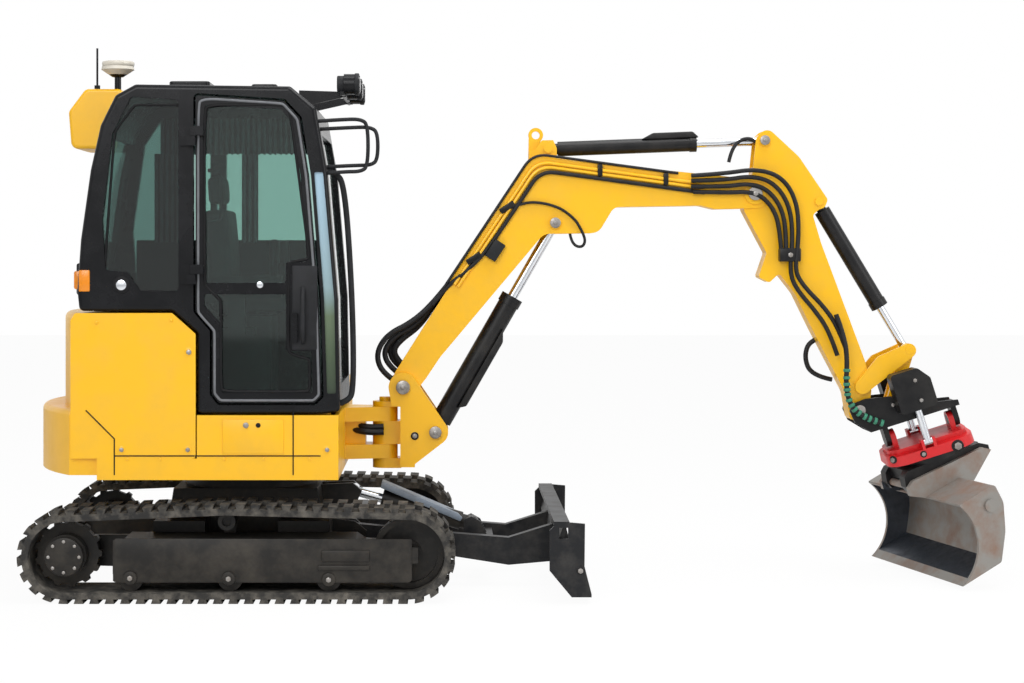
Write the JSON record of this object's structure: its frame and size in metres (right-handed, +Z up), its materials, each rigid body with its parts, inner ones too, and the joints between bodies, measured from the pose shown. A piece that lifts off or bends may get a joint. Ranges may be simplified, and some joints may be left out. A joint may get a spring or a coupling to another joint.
{
  "type": "mini excavator",
  "caption": "Compact tracked excavator with closed cab, dozer blade, swinging boom, stick, and a tilting, turning tool head that carries a grading bucket.",
  "frame": {"origin": "on the ground under the middle of the machine's bounding box", "axes": "+X from the cab towards the bucket, +Z up, +Y to the side away from the cab door"},
  "size_m": [4.611, 1.55, 2.58],
  "materials": {
    "track_rubber": "matt",
    "black_frame_paint": "satin",
    "black_cast_iron": "matt",
    "yellow_paint": "gloss",
    "yellow_cast_iron": "gloss",
    "engine_aluminium": "matt",
    "black_cab_paint": "satin",
    "window_glass": "clear",
    "seat_fabric": "matt",
    "black_plastic": "matt",
    "chrome_rod": "polished",
    "blue_grey_paint": "satin",
    "black_head_paint": "satin",
    "red_paint": "gloss",
    "worn_steel": "worn"
  },
  "bodies": {
    "undercarriage": {"track_near": "track_rubber", "track_far": "track_rubber", "track_frame_near": "black_frame_paint", "track_frame_far": "black_frame_paint", "sprocket_near": "black_cast_iron", "sprocket_far": "black_cast_iron", "idler_near": "black_cast_iron", "idler_far": "black_cast_iron", "rollers_near": "black_frame_paint", "rollers_far": "black_frame_paint", "carbody": "black_frame_paint", "slew_ring": "black_frame_paint"},
    "dozer_blade": {"blade": "black_frame_paint"},
    "blade_barrel": {"blade_cylinder": "blue_grey_paint"},
    "blade_ram": {"blade_rod": "chrome_rod"},
    "upper": {"deck": "yellow_paint", "counterweight": "yellow_cast_iron", "rear_hood": "yellow_paint", "engine_block": "engine_aluminium", "access_panel": "yellow_paint", "sill_panel": "yellow_paint", "far_body": "yellow_paint", "cab_roof": "black_cab_paint", "cab_front": "black_cab_paint", "cab_rear": "black_cab_paint", "cab_floor": "black_cab_paint", "windscreen": "window_glass", "rear_glass": "window_glass", "cab_near_wall": "black_cab_paint", "quarter_glass": "window_glass", "strip_glass": "window_glass", "cab_far_wall": "black_cab_paint", "far_glass": "window_glass", "seat": "seat_fabric", "seat_box": "black_plastic", "roof_gear": "black_plastic", "rear_cap": "yellow_paint", "antennas": "black_plastic", "lamp_bar": "black_plastic"},
    "cab_door": {"door": "black_cab_paint", "door_glass": "window_glass"},
    "post": {"swing_post": "yellow_paint"},
    "boom_arm": {"boom": "yellow_paint", "boom_bracket": "yellow_paint"},
    "boom_barrel": {"boom_cylinder": "black_head_paint"},
    "boom_ram": {"boom_rod": "chrome_rod"},
    "stick_arm": {"stick": "yellow_paint"},
    "stick_barrel": {"stick_cylinder": "black_head_paint"},
    "stick_ram": {"stick_rod": "chrome_rod"},
    "bucket_barrel": {"bucket_cylinder": "black_head_paint"},
    "bucket_ram": {"bucket_rod": "chrome_rod"},
    "rocker_pair": {"rocker": "yellow_paint"},
    "link": {"lower_link": "yellow_paint"},
    "head": {"tool_head": "black_head_paint"},
    "tilt_ram_near": {"tilt_rod_near": "chrome_rod"},
    "tilt_ram_far": {"tilt_rod_far": "chrome_rod"},
    "housing": {"rotor_housing": "red_paint"},
    "tool": {"quick_hitch": "black_head_paint", "bucket": "worn_steel"}
  },
  "joints": [
    {"name": "slew", "type": "hinge", "parent": "undercarriage", "child": "upper", "pos_m": [-1.30556, 0, 0.552], "axis": [0, 0, 1], "continuous": true},
    {"name": "blade_lift", "type": "hinge", "parent": "undercarriage", "child": "dozer_blade", "pos_m": [-0.78556, 0, 0.255], "axis": [0, -1, 0], "range_deg": [-16, 20]},
    {"name": "blade_barrel_turn", "type": "hinge", "parent": "dozer_blade", "child": "blade_barrel", "pos_m": [-0.23056, 0, 0.262], "axis": [0, -1, 0], "range_deg": [-3.09, 2.67]},
    {"name": "blade_ram_slide", "type": "slide", "parent": "blade_barrel", "child": "blade_ram", "axis": [-0.9623, 0, 0.2719], "range_m": [-0.05928, 0.04822]},
    {"name": "door_hinge", "type": "hinge", "parent": "upper", "child": "cab_door", "pos_m": [-1.50456, -0.729, 1.805], "axis": [0, 0, -1], "range_deg": [0, 175]},
    {"name": "boom_swing", "type": "hinge", "parent": "upper", "child": "post", "pos_m": [-0.65256, 0, 0.7], "axis": [0, 0, 1], "range_deg": [-70, 50]},
    {"name": "boom_lift", "type": "hinge", "parent": "post", "child": "boom_arm", "pos_m": [-0.56256, 0, 0.936], "axis": [0, -1, 0], "range_deg": [-58, 35]},
    {"name": "boom_barrel_turn", "type": "hinge", "parent": "post", "child": "boom_barrel", "pos_m": [-0.40556, 0, 0.718], "axis": [0, -1, 0], "range_deg": [-55.99, 34.18]},
    {"name": "boom_ram_slide", "type": "slide", "parent": "boom_barrel", "child": "boom_ram", "axis": [0.4982, 0, 0.8671], "range_m": [-0.24836, 0.15146]},
    {"name": "stick_turn", "type": "hinge", "parent": "boom_arm", "child": "stick_arm", "pos_m": [1.1493, 0, 1.87602], "axis": [0, 1, 0], "range_deg": [-66, 38]},
    {"name": "stick_barrel_turn", "type": "hinge", "parent": "boom_arm", "child": "stick_barrel", "pos_m": [0.14333, 0, 2.0945], "axis": [0, 1, 0], "range_deg": [-1.19, 1.33]},
    {"name": "stick_ram_slide", "type": "slide", "parent": "stick_barrel", "child": "stick_ram", "axis": [0.9993, 0, 0.0383], "range_m": [-0.26828, 0.15616]},
    {"name": "bucket_curl", "type": "hinge", "parent": "stick_arm", "child": "head", "pos_m": [1.65476, 0, 0.82268], "axis": [0, 1, 0], "range_deg": [-40, 90]},
    {"name": "rocker_turn", "type": "hinge", "parent": "stick_arm", "child": "rocker_pair", "pos_m": [1.67176, 0, 0.93699], "axis": [0, 1, 0], "range_deg": [-33.07, 73.16]},
    {"name": "link_turn", "type": "hinge", "parent": "rocker_pair", "child": "link", "pos_m": [1.89773, 0, 1.11296], "axis": [0, 1, 0], "range_deg": [-30.66, 14.18]},
    {"name": "bucket_barrel_turn", "type": "hinge", "parent": "stick_arm", "child": "bucket_barrel", "pos_m": [1.462, 0, 1.83847], "axis": [0, 1, 0], "range_deg": [-2.8, 5.06]},
    {"name": "bucket_ram_slide", "type": "slide", "parent": "bucket_barrel", "child": "bucket_ram", "axis": [0.5149, 0, -0.8573], "range_m": [-0.14436, 0.31981]},
    {"name": "head_tilt", "type": "hinge", "parent": "head", "child": "housing", "pos_m": [1.97176, 0, 0.7318], "axis": [0.9537, 0, 0.3007], "range_deg": [-46, 34]},
    {"name": "tilt_ram_near_slide", "type": "slide", "parent": "head", "child": "tilt_ram_near", "axis": [-0.3007, 0, 0.9537], "range_m": [-0.08352, 0.11158]},
    {"name": "tilt_ram_far_slide", "type": "slide", "parent": "head", "child": "tilt_ram_far", "axis": [-0.3007, 0, 0.9537], "range_m": [-0.11158, 0.08352]},
    {"name": "rotor_turn", "type": "hinge", "parent": "housing", "child": "tool", "pos_m": [1.97176, 0, 0.7318], "axis": [-0.2991, -0.1045, 0.9485], "continuous": true}
  ],
  "couplings": [
    {"joint": "blade_barrel_turn", "follows": "blade_lift", "ratio": -0.1043},
    {"joint": "blade_ram_slide", "follows": "blade_lift", "m_per_rad": -0.15836},
    {"joint": "boom_barrel_turn", "follows": "boom_lift", "ratio": 0.9481},
    {"joint": "boom_ram_slide", "follows": "boom_lift", "m_per_rad": 0.24139},
    {"joint": "stick_barrel_turn", "follows": "stick_turn", "ratio": -0.005},
    {"joint": "stick_ram_slide", "follows": "stick_turn", "m_per_rad": 0.22943},
    {"joint": "rocker_turn", "follows": "bucket_curl", "ratio": 0.80176},
    {"joint": "link_turn", "follows": "bucket_curl", "ratio": -0.32951},
    {"joint": "bucket_barrel_turn", "follows": "bucket_curl", "ratio": 0.0451},
    {"joint": "bucket_ram_slide", "follows": "bucket_curl", "m_per_rad": 0.20105},
    {"joint": "tilt_ram_near_slide", "follows": "head_tilt", "m_per_rad": -0.134},
    {"joint": "tilt_ram_far_slide", "follows": "head_tilt", "m_per_rad": 0.134}
  ]
}
